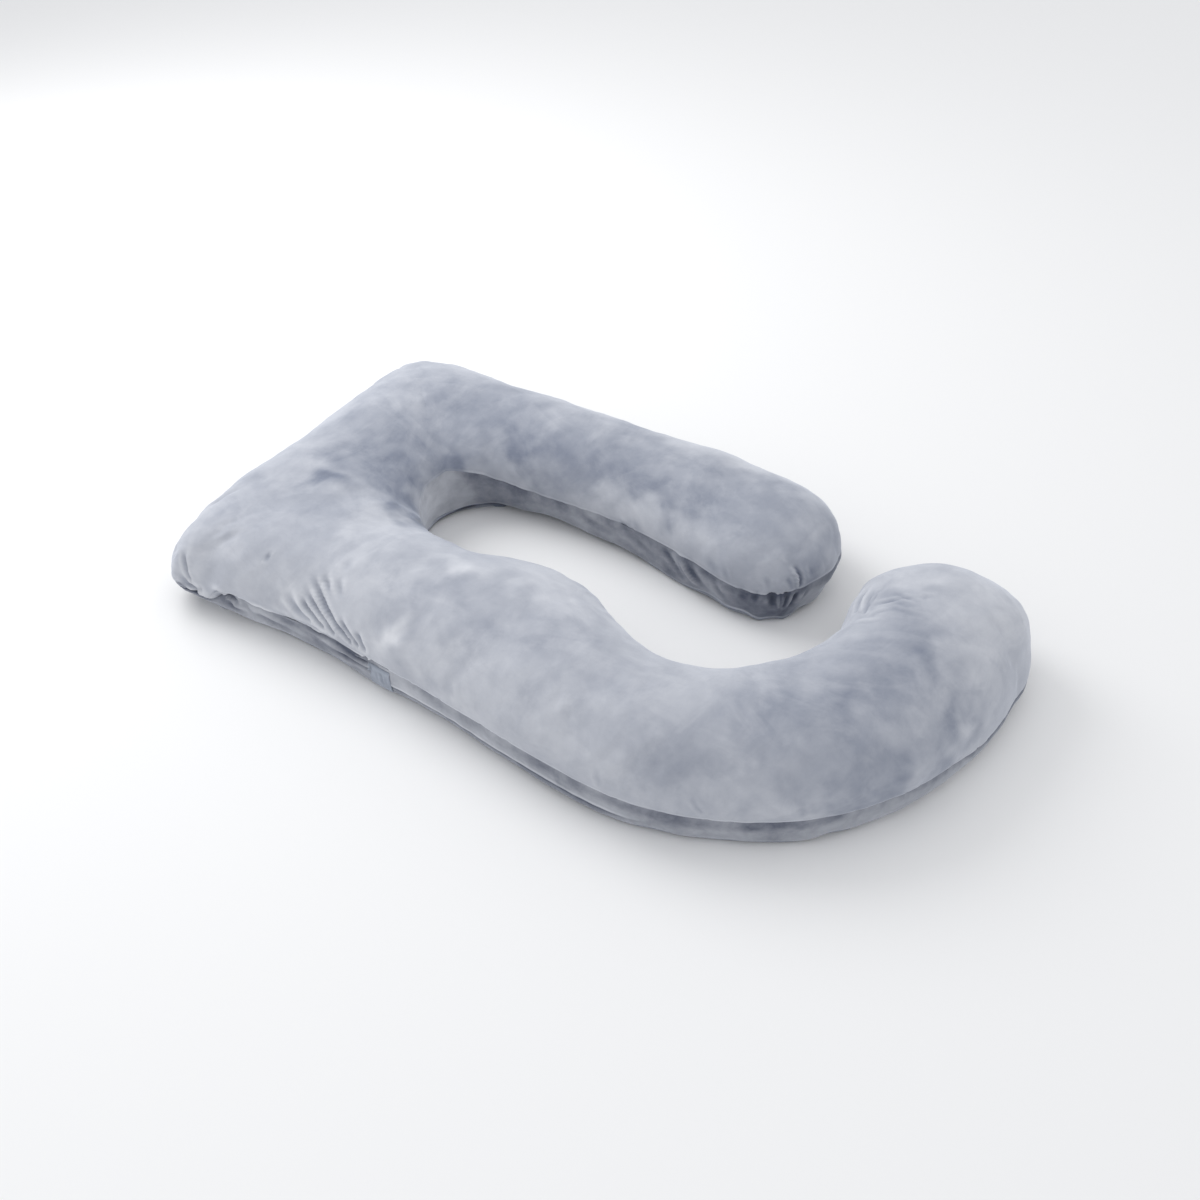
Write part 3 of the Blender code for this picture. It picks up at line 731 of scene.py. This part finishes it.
def make_strip(name, fine, puckers, first, last, start, end, lift):
    """A strip of band between two rim points and two shares, as a thin closed cloth."""
    size = len(fine.path)
    count = (last - first) % size
    order = [(first + k) % size for k in range(count + 1)]
    rows = max(STRIP_ROWS, int(round(BAND_ROWS * (end - start))))
    shares = start + (end - start) * np.linspace(0, 1, rows + 1)
    height = np.linalg.norm(fine.top_rim - fine.bottom_rim, axis=1).mean() * 1.1
    rings = [fine.band_ring(share) for share in shares]
    creases = crease_depth(np.vstack([ring for ring, out in rings])).reshape(rows + 1, size)
    front = []
    back = []
    tones = []
    for place, (share, (ring, out)) in enumerate(zip(shares, rings)):
        depth = fold_depth(ring) + creases[place]
        away = np.full(len(ring), share * height)
        from_foot = (1 - share) * height
        patchy = np.clip(0.6 + 0.3 * MIDDLE.at(ring) + 0.2 * SMALL.at(ring), 0, 1.3)
        # painted shade in the creases' troughs, under the top seam and along the front; painted
        # highlights on raised lips and above the bottom seam
        tone = crease_shade_and_highlight(creases[place])
        tone -= SEAM_SHADE * patchy * bell(away, 0.011)
        tone += FOOT_LIGHT * bell(from_foot - 0.006, 0.006)
        shaded = smooth_step((ring[:, 0] + 0.12) / 0.10) * smooth_step((-0.20 - ring[:, 1]) / 0.10)
        tone -= FRONT_SHADE * shaded * bell(away - 0.009, 0.009)
        # on the zip: a painted highlight on the flap's lip, and painted shade at the slit and on the
        # strip under it
        zip_share = smooth_step((ZIP_END - ring[:, 0]) / ZIP_FADE)
        if end == ZIP_SLIT:
            from_slit = (end - share) * height
            lip = bell(from_slit - 0.006, 0.003) * zip_share
            slit = bell(from_slit, 0.0026) * zip_share
            tone += LIP_LIGHT * lip - SLIT_SHADE * slit
            depth -= ZIP_LIP * lip
        if start == ZIP_SLIT:
            slit = bell((share - start) * height, 0.004)
            tone -= (STRIP_SHADE + SLIT_SHADE * slit) * zip_share
            depth += ZIP_LIP * slit
        tones.append(tone[order])
        depth += relief(ring, puckers, puckers.places, away)
        depth += PINCH * 0.6 * bell(from_foot, PINCH_WIDTH)
        front.append((ring - out * (depth - lift)[:, None])[order])
        back.append((ring - out * (depth - lift + BAND)[:, None])[order])
    outline = np.array(front + back[::-1])
    index = np.arange(outline.shape[0] * (count + 1)).reshape(-1, count + 1)
    after = np.roll(index, -1, axis=0)
    corners = (index[:, 1:], after[:, 1:], after[:, :-1], index[:, :-1])
    faces = np.stack(corners, axis=-1).reshape(-1, 4).tolist()
    for k in (0, count):
        for place in range(rows):
            corner = (index[place, k], index[place + 1, k])
            faces.append([int(v) for v in corner + (index[-place - 2, k], index[-place - 1, k])])
    mesh = closed_mesh(name, outline.reshape(-1, 3), faces)
    mesh.shade_smooth()
    mesh.set_sharp_from_angle(angle=np.radians(60))
    give_tone_and_painted_shading(mesh, BAND_PATCHES, np.vstack(tones + tones[::-1]).ravel(), 0.4)
    long = np.linalg.norm(np.diff(front[rows // 2], axis=0), axis=1).sum()
    wide = np.linalg.norm(np.diff(np.array(front), axis=0), axis=2).sum(axis=0).mean()
    return link(name, mesh), (float(wide), float(long))


# ---------------------------------------------------------------- velvet


# The darkest share of the ramp is kept for painted shade in creases and pockets.
PAINTED_SHADOW_SHARE = 0.35  # share of the tones that is kept for the depth of creases and pockets


def velvet(name, painted_shadow, dark, light, middle, weights):
    """Crushed velvet: cloudy pile in two tones over a darkest colour for painted shade, a soft sheen,
    and a fine pile grain with faint dents.
    """
    material = bpy.data.materials.new(name)
    material.use_nodes = True
    tree = material.node_tree
    nodes, links = tree.nodes, tree.links
    shader = nodes["Principled BSDF"]
    shader.inputs["Roughness"].default_value = 0.85
    shader.inputs["Specular IOR Level"].default_value = 0.15
    shader.inputs["Sheen Weight"].default_value = 0.55
    shader.inputs["Sheen Roughness"].default_value = 0.38
    shader.inputs["Sheen Tint"].default_value = (0.88, 0.92, 1.0, 1.0)
    place = nodes.new("ShaderNodeTexCoord")

    def cloud(scale, detail, roughness, distortion, stretch=(1, 1, 1)):
        mapping = nodes.new("ShaderNodeMapping")
        mapping.inputs["Scale"].default_value = stretch
        links.new(place.outputs["Object"], mapping.inputs["Vector"])
        noise = nodes.new("ShaderNodeTexNoise")
        noise.inputs["Scale"].default_value = scale
        noise.inputs["Detail"].default_value = detail
        noise.inputs["Roughness"].default_value = roughness
        noise.inputs["Distortion"].default_value = distortion
        links.new(mapping.outputs["Vector"], noise.inputs["Vector"])
        return noise.outputs["Fac"]

    def math(operation, a, b, c=None):
        node = nodes.new("ShaderNodeMath")
        node.operation = operation
        for socket, value in zip(node.inputs, (a, b, c)):
            if value is None:
                continue
            if isinstance(value, (int, float)):
                socket.default_value = value
            else:
                links.new(value, socket)
        return node.outputs["Value"]

    # each point's tone: the patches, with painted shade and painted highlights
    tone_and_painted_shading = nodes.new("ShaderNodeAttribute")
    tone_and_painted_shading.attribute_name = "tone_and_painted_shading"
    tone = math("ADD", tone_and_painted_shading.outputs["Fac"], middle)
    layers = (
        (5.0, 3, 0.55, 0.6, (1, 1, 1)),
        (13.0, 5, 0.6, 0.9, (1.0, 0.7, 1)),
        (36.0, 4, 0.6, 0.5, (0.7, 1.0, 1)),
        (90.0, 3, 0.6, 0.3, (1.0, 0.7, 1)),
    )
    for layer, weight in zip(layers, weights):
        lump = math("SUBTRACT", cloud(*layer), 0.5)
        tone = math("MULTIPLY_ADD", lump, weight, tone)
    # brushed places with a feathered edge
    for scale, stretch, weight in ((5.5, (1.0, 0.6, 1), 0.11), (10.0, (0.6, 1.0, 1), 0.07)):
        brushed = nodes.new("ShaderNodeMapRange")
        brushed.interpolation_type = "SMOOTHSTEP"
        brushed.inputs["From Min"].default_value = 0.47
        brushed.inputs["From Max"].default_value = 0.58
        links.new(cloud(scale, 6, 0.6, 0.8, stretch), brushed.inputs["Value"])
        lump = math("SUBTRACT", brushed.outputs["Result"], 0.5)
        tone = math("MULTIPLY_ADD", lump, weight, tone)
    # the ramp's darkest colour shows painted shade in creases, pockets and under the edges
    ramp = nodes.new("ShaderNodeValToRGB")
    ramp.color_ramp.elements[0].color = (*painted_shadow, 1)
    ramp.color_ramp.elements[1].color = (*light, 1)
    ramp.color_ramp.elements.new(PAINTED_SHADOW_SHARE).color = (*dark, 1)
    links.new(math("MULTIPLY_ADD", tone, 1 - PAINTED_SHADOW_SHARE, PAINTED_SHADOW_SHARE), ramp.inputs["Fac"])
    links.new(ramp.outputs["Color"], shader.inputs["Base Color"])

    pile = cloud(1100.0, 2, 0.7, 0.0)
    dents = cloud(38.0, 3, 0.6, 0.8)
    height = math("MULTIPLY_ADD", dents, 6.0, pile)
    bump = nodes.new("ShaderNodeBump")
    bump.inputs["Distance"].default_value = 0.0004
    bump.inputs["Strength"].default_value = 0.35
    links.new(height, bump.inputs["Height"])
    links.new(bump.outputs["Normal"], shader.inputs["Normal"])
    return material


# Patches that make the colour lighter or darker: the pile's uneven tone, partly painted shade and
# painted light. Centre, half sizes, tone, and for some a turn in degrees.
Patch = namedtuple("Patch", "x y long wide tone turn", defaults=(0,))
PATCHES = (
    # the bend and the short arm
    (-0.44, 0.02, 0.085, 0.13, -0.28),
    (-0.4, 0.16, 0.1, 0.06, -0.2, 15),
    (-0.48, -0.12, 0.06, 0.045, -0.08),
    (-0.36, -0.07, 0.05, 0.03, -0.18, -35),
    (-0.54, 0.06, 0.05, 0.06, -0.1),
    (-0.15, 0.21, 0.2, 0.05, -0.19),
    (-0.26, 0.18, 0.09, 0.03, -0.22, -8),
    (0.1, 0.23, 0.15, 0.055, -0.17, -3),
    (0.02, 0.158, 0.11, 0.014, 0.1, -3),
    (0.294, 0.205, 0.014, 0.06, -0.2, -10),
    (-0.375, 0.092, 0.022, 0.025, -0.34),
    (-0.336, -0.09, 0.02, 0.021, -0.34),
    (-0.474, -0.135, 0.028, 0.019, -0.38),
    (-0.51, -0.1, 0.018, 0.016, 0.14),
    (-0.445, -0.096, 0.024, 0.012, 0.16),
    (-0.385, 0.072, 0.018, 0.028, -0.14),
    (-0.388, -0.025, 0.02, 0.022, -0.18),
    (-0.37, -0.13, 0.026, 0.028, -0.14),
    (-0.41, 0.032, 0.022, 0.014, 0.14),
    (-0.53, 0.095, 0.026, 0.022, -0.1),
    (-0.565, -0.2, 0.028, 0.03, -0.12),
    (-0.44, -0.045, 0.06, 0.08, -0.12),
    (-0.28, 0.18, 0.022, 0.022, -0.18),
    (-0.045, 0.184, 0.064, 0.017, -0.22, -2),
    (-0.03, 0.15, 0.05, 0.01, 0.12),
    (-0.09, 0.25, 0.034, 0.02, 0.16),
    (-0.07, 0.302, 0.07, 0.022, -0.1),
    (0.06, 0.19, 0.02, 0.018, -0.16),
    (0.12, 0.155, 0.037, 0.015, -0.32, -13),
    (0.245, 0.22, 0.016, 0.02, 0.12),
    (-0.01, 0.175, 0.03, 0.012, -0.14),
    (-0.3, 0.252, 0.034, 0.018, -0.12),
    (-0.08, 0.28, 0.06, 0.035, -0.08),
    (0.0, 0.25, 0.034, 0.034, -0.06),
    (-0.47, 0.26, 0.04, 0.05, -0.08),
    (-0.602, 0.219, 0.051, 0.085, -0.18),
    (-0.35, 0.202, 0.03, 0.014, 0.08),
    (-0.48, 0.09, 0.018, 0.022, -0.14),
    (-0.462, 0.01, 0.018, 0.05, -0.12),
    (-0.385, -0.21, 0.05, 0.022, -0.08),
    (-0.6, -0.165, 0.03, 0.02, 0.08),
    (0.22, 0.3, 0.03, 0.035, 0.08),
    (0.304, 0.282, 0.014, 0.022, -0.14),
    (-0.05, 0.285, 0.33, 0.035, -0.1),
    (-0.38, 0.27, 0.06, 0.05, -0.08),
    (0.2, 0.27, 0.03, 0.03, -0.06),
    (-0.405, 0.17, 0.05, 0.02, 0.14, 45),
    (-0.53, -0.095, 0.024, 0.018, 0.18),
    (-0.1, 0.325, 0.3, 0.02, 0.05),
    (-0.44, 0.11, 0.035, 0.045, 0.13),
    (-0.34, -0.085, 0.03, 0.03, -0.2),
    (-0.19, 0.17, 0.05, 0.018, 0.12),
    (0.03, 0.192, 0.15, 0.025, -0.1, -5),
    (0.15, 0.27, 0.07, 0.035, -0.1),
    (-0.45, 0.235, 0.05, 0.035, -0.09),
    # the front arm
    (-0.158, -0.328, 0.021, 0.021, 0.42),
    (-0.06, -0.35, 0.035, 0.035, 0.12),
    (-0.13, -0.205, 0.045, 0.03, 0.22),
    (0.075, -0.25, 0.07, 0.05, -0.16),
    (0.25, -0.24, 0.05, 0.03, -0.08),
    (0.34, -0.33, 0.07, 0.03, -0.12, 5),
    (-0.12, -0.27, 0.06, 0.02, -0.08, 40),
    (-0.45, -0.37, 0.24, 0.03, 0.14),
    (-0.15, -0.34, 0.11, 0.035, 0.14),
    (-0.02, -0.135, 0.13, 0.045, 0.2, -8),
    (-0.31, -0.17, 0.08, 0.045, 0.12),
    (-0.14, -0.19, 0.06, 0.05, 0.1),
    (0.22, -0.19, 0.1, 0.025, 0.08, -10),
    (-0.06, -0.368, 0.03, 0.014, 0.16),
    (-0.05, -0.255, 0.022, 0.018, 0.12),
    (-0.07, -0.325, 0.02, 0.018, 0.12),
    (-0.172, -0.32, 0.018, 0.018, 0.18),
    (-0.122, -0.226, 0.018, 0.018, 0.12),
    (-0.17, -0.27, 0.016, 0.022, 0.12),
    (-0.12, -0.212, 0.04, 0.016, 0.1),
    (-0.018, -0.178, 0.016, 0.022, 0.12),
    (-0.31, -0.135, 0.03, 0.02, 0.08),
    (0.05, -0.255, 0.034, 0.02, -0.08),
    (-0.57, -0.36, 0.03, 0.014, 0.14),
    (-0.6, -0.3, 0.03, 0.035, 0.08),
    # the hook
    (0.53, -0.22, 0.09, 0.055, -0.08, 45),
    (0.645, -0.05, 0.022, 0.08, -0.18, 10),
    (0.5, -0.2, 0.11, 0.08, -0.2, 45),
    (0.56, -0.06, 0.05, 0.11, -0.14, 10),
    (0.52, 0.07, 0.09, 0.04, -0.12, -38),
    (0.5, 0.205, 0.1, 0.045, 0.18, 20),
    (0.61, 0.16, 0.06, 0.07, 0.1),
    (0.43, -0.04, 0.03, 0.05, 0.06, -20),
    (0.648, -0.055, 0.014, 0.06, -0.24, 8),
    (0.618, -0.13, 0.02, 0.04, -0.16, -20),
    (0.49, -0.15, 0.05, 0.05, -0.1),
    (0.54, -0.255, 0.08, 0.018, -0.12, 42),
    (0.425, -0.188, 0.022, 0.022, 0.16),
    (0.39, -0.258, 0.016, 0.022, 0.1),
    (0.432, -0.262, 0.014, 0.02, 0.1),
    (0.464, -0.12, 0.028, 0.022, -0.12),
    (0.522, -0.13, 0.02, 0.024, -0.1),
    (0.656, -0.045, 0.01, 0.03, -0.12, 8),
    (0.568, -0.242, 0.034, 0.014, -0.12, 45),
    (0.572, 0.04, 0.03, 0.03, -0.08),
    (0.61, -0.17, 0.012, 0.02, 0.1),
    (0.49, 0.1, 0.03, 0.016, -0.14),
    (0.49, 0.02, 0.022, 0.022, 0.1),
    (0.576, 0.0, 0.02, 0.02, -0.14),
    (0.64, 0.02, 0.02, 0.04, -0.12),
    (0.6, -0.165, 0.026, 0.028, -0.12),
    (0.392, -0.305, 0.02, 0.02, 0.12),
    (0.525, 0.17, 0.03, 0.014, 0.14, 20),
    (0.468, 0.145, 0.02, 0.012, 0.12),
    # the head end
    (-0.63, -0.05, 0.03, 0.28, 0.06),
)
BAND_PATCHES = (
    # inside the bend, painted light where the band faces the hook
    (-0.372, -0.004, 0.05, 0.07, 0.5),
    (-0.384, 0.062, 0.05, 0.06, 0.16),
    (-0.335, 0.118, 0.055, 0.045, -0.18, 20),
    (-0.24, 0.145, 0.06, 0.03, -0.14),
    # painted shade in the pocket under the head end's front corner
    (-0.6, -0.372, 0.04, 0.04, -0.25),
    (-0.12, 0.15, 0.06, 0.04, 0.1),
    (0.03, 0.14, 0.08, 0.04, -0.1),
    (0.14, 0.12, 0.05, 0.03, 0.06),
    (0.27, 0.14, 0.06, 0.05, -0.2, 30),
    (0.31, 0.205, 0.025, 0.04, 0.26),
    (0.315, 0.27, 0.025, 0.04, -0.1),
    # along the front
    (-0.44, -0.365, 0.07, 0.06, 0.22),
    (-0.27, -0.355, 0.07, 0.05, 0.06),
    (-0.11, -0.365, 0.07, 0.05, 0.36),
    (0.12, -0.385, 0.12, 0.05, 0.2),
    (0.33, -0.37, 0.08, 0.05, 0.12),
    (0.43, -0.34, 0.04, 0.04, 0.06),
    (0.37, -0.355, 0.022, 0.03, -0.14),
    (0.5, -0.3, 0.02, 0.03, -0.12),
    (0.56, -0.25, 0.08, 0.08, 0.1),
)
PATCH_WARPS = ((Waves(0.11, 21), 0.022), (Waves(0.045, 23), 0.009), (Waves(0.018, 29), 0.003))


def crease_shade_and_highlight(depth):
    """Painted shade in a trough's pile and a painted highlight on a raised lip."""
    return -0.34 * np.clip(depth / 0.004, 0, 1) + 0.22 * np.clip(-depth / 0.0015, 0, 1)


def give_tone_and_painted_shading(mesh, patches, tone, warp):
    """Add the patches, with edges as uneven as warp, to each point's tone, which already holds painted
    shade and highlights, and store it.
    """
    points = points_of(mesh)
    warped = points.copy()
    for waves, size in PATCH_WARPS:
        for axis in (0, 1):
            warped[:, axis] += warp * size * waves.at(points + 0.37 * (axis + 1))
    for patch in (Patch(*row) for row in patches):
        turn = np.radians(patch.turn)
        loose = min(1, min(patch.long, patch.wide) / 0.05)
        x, y = (points + loose * (warped - points))[:, :2].T - [[patch.x], [patch.y]]
        long = (x * np.cos(turn) + y * np.sin(turn)) / patch.long
        wide = (y * np.cos(turn) - x * np.sin(turn)) / patch.wide
        tone = tone + patch.tone * np.exp(-((long**2 + wide**2) ** 1.3) * 0.7)
    attribute = mesh.attributes.new("tone_and_painted_shading", "FLOAT", "POINT")
    attribute.data.foreach_set("value", tone.astype(np.float32))


# ---------------------------------------------------------------- floor, light and camera

AZIMUTH = np.radians(33.5)
ELEVATION = np.radians(40.0)
DISTANCE = 2.33
TARGET = Vector((-0.014, 0.030, 0.0))


def make_camera():
    data = bpy.data.cameras.new("camera")
    data.lens = 40.0
    data.sensor_width = 36.0
    camera = link("camera", data)
    level = np.cos(ELEVATION)
    back = Vector((np.sin(AZIMUTH) * level, -np.cos(AZIMUTH) * level, np.sin(ELEVATION)))
    camera.location = TARGET + back * DISTANCE
    camera.rotation_euler = back.to_track_quat("Z", "Y").to_euler()
    bpy.context.scene.camera = camera


def make_light(name, place, aim, size, power):
    data = bpy.data.lights.new(name, "AREA")
    data.shape = "DISK"
    data.size = size
    data.energy = power
    lamp = link(name, data)
    lamp.location = place
    lamp.rotation_euler = (Vector(place) - Vector(aim)).to_track_quat("Z", "Y").to_euler()


def make_surroundings():
    builder = bmesh.new()
    bmesh.ops.create_grid(builder, x_segments=1, y_segments=1, size=30.0)
    mesh = bpy.data.meshes.new("floor")
    builder.to_mesh(mesh)
    builder.free()
    floor = link("floor", mesh)
    floor.location.z = -0.0005
    material = bpy.data.materials.new("pale_floor")
    material.use_nodes = True
    shader = material.node_tree.nodes["Principled BSDF"]
    shader.inputs["Base Color"].default_value = (0.86, 0.86, 0.86, 1)
    shader.inputs["Roughness"].default_value = 0.9
    mesh.materials.append(material)
    world = bpy.data.worlds.new("studio")
    world.use_nodes = True
    background = world.node_tree.nodes["Background"]
    background.inputs["Color"].default_value = (0.97, 0.98, 1.0, 1)
    background.inputs["Strength"].default_value = 0.9
    bpy.context.scene.world = world
    make_light("key", (-2.2, 0.3, 2.0), (-0.2, 0, 0.1), 2.0, 38)
    bpy.context.scene.view_settings.view_transform = "Standard"


# ---------------------------------------------------------------- build

make_camera()
make_surroundings()
fine = Shell(SPLIT)
puckers = Puckers(fine.top_rim, PUCKER_SEED)

# darkest colour of each velvet, for painted shade
PAINTED_SHADOW = (0.025, 0.029, 0.042)
velvet_top = velvet(
    "velvet", PAINTED_SHADOW, (0.205, 0.228, 0.290), (0.665, 0.678, 0.715), 0.51, (0.42, 0.34, 0.20, 0.10)
)
# the band: the same cloth as the top, made darker as painted shade, with its own mottling
shaded_band_velvet = velvet(
    "band_velvet", PAINTED_SHADOW, (0.09, 0.102, 0.14), (0.6, 0.615, 0.655), 0.35, (0.14, 0.42, 0.44, 0.18)
)
# the tab: the same cloth, made darker and bluer, the darkness being painted shade
shaded_tab_velvet = velvet(
    "tab_velvet", PAINTED_SHADOW, (0.120, 0.140, 0.180), (0.400, 0.435, 0.500), 0.45, (0.10, 0.40, 0.50, 0.40)
)

pillow = make_pillow(fine, puckers)
pillow.data.materials.append(velvet_top)
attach(pillow, "root")
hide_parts("pillow_body")

zip_first, zip_last = fine.outer_index(ZIP_START), fine.outer_index(ZIP_END)
tab_first, tab_last = fine.outer_index(TAB_START), fine.outer_index(TAB_END)
FINISHES = {"band_velvet": shaded_band_velvet, "tab_velvet": shaded_tab_velvet}
# Each strip: its name, node, slot, rim points, shares and lift off the cloth.
STRIPS = (
    ("band", "side_band", "band_velvet", zip_last, zip_first, 0.0, BAND_FOOT, 0.0),
    ("zip_flap", "zip_band_upper", "band_velvet", zip_first, zip_last, 0.0, ZIP_SLIT, 0.0),
    ("zip_strip", "zip_band_lower", "band_velvet", zip_first, zip_last, ZIP_SLIT, BAND_FOOT, 0.0),
    ("tab", "zip_tab", "tab_velvet", tab_first, tab_last, *TAB_SHARES, BAND + 0.0005),
)
for name, node, slot, first, last, start, end, lift in STRIPS:
    strip, flat = make_strip(name, fine, puckers, first, last, start, end, lift)
    strip.data.materials.append(FINISHES[slot])
    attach(strip, "root")
    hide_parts(node)
